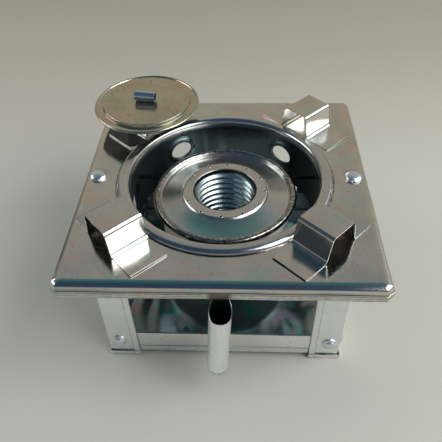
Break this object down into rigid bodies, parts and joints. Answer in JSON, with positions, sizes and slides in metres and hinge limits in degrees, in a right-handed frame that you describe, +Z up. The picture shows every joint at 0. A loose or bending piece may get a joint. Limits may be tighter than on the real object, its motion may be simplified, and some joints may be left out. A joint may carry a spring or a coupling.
{
  "type": "alcohol spirit stove",
  "caption": "Square folded tinplate stand on corner legs with a round burner well, an open-jet spirit burner on a fuel tank, a filler tube, pot supports and a lift-off lid.",
  "frame": {"origin": "on the ground under the burner's axis, which is also the centre of the square plate", "axes": "+Z up, -Y towards the filler tube at the front, +X to the right seen from the front"},
  "size_m": [0.2022, 0.2168, 0.1323],
  "materials": {
    "bright_tinplate": "bright polished tinplate with fine handling scratches",
    "satin_tinplate": "satin tinplate, lightly dulled",
    "zinc_plate": "bright bluish zinc plate",
    "rivet_metal": "smooth set rivet heads",
    "black_iron": "black annealed iron",
    "lacquered_tinplate": "clear gold lacquer over tinplate"
  },
  "bodies": {
    "stove": {"top_plate": "bright_tinplate", "well_wall": "bright_tinplate", "burner_disc": "bright_tinplate", "burner_hub": "bright_tinplate", "pot_support_front_left": "bright_tinplate", "pot_support_front_right": "bright_tinplate", "pot_support_back_left": "bright_tinplate", "pot_support_back_right": "bright_tinplate", "leg_front_left": "satin_tinplate", "leg_front_right": "satin_tinplate", "leg_back_left": "satin_tinplate", "leg_back_right": "satin_tinplate", "base_tray": "satin_tinplate", "filler_tube": "satin_tinplate", "filler_end_cap": "satin_tinplate", "tank_shell": "satin_tinplate", "tank_bottom": "satin_tinplate", "feed_pipe": "satin_tinplate", "burner_bracket_left": "satin_tinplate", "burner_bracket_right": "satin_tinplate", "burner_neck": "zinc_plate", "plate_rivets": "rivet_metal", "leg_rivets": "rivet_metal", "burner_pin_left": "black_iron", "burner_pin_right": "black_iron"},
    "lid": {"lid_disc": "lacquered_tinplate", "lid_knob": "zinc_plate"}
  },
  "joints": [
    {"name": "lid_lift", "type": "slide", "parent": "stove", "child": "lid", "axis": [0, 0, 1], "range_m": [0, 0.06]}
  ]
}
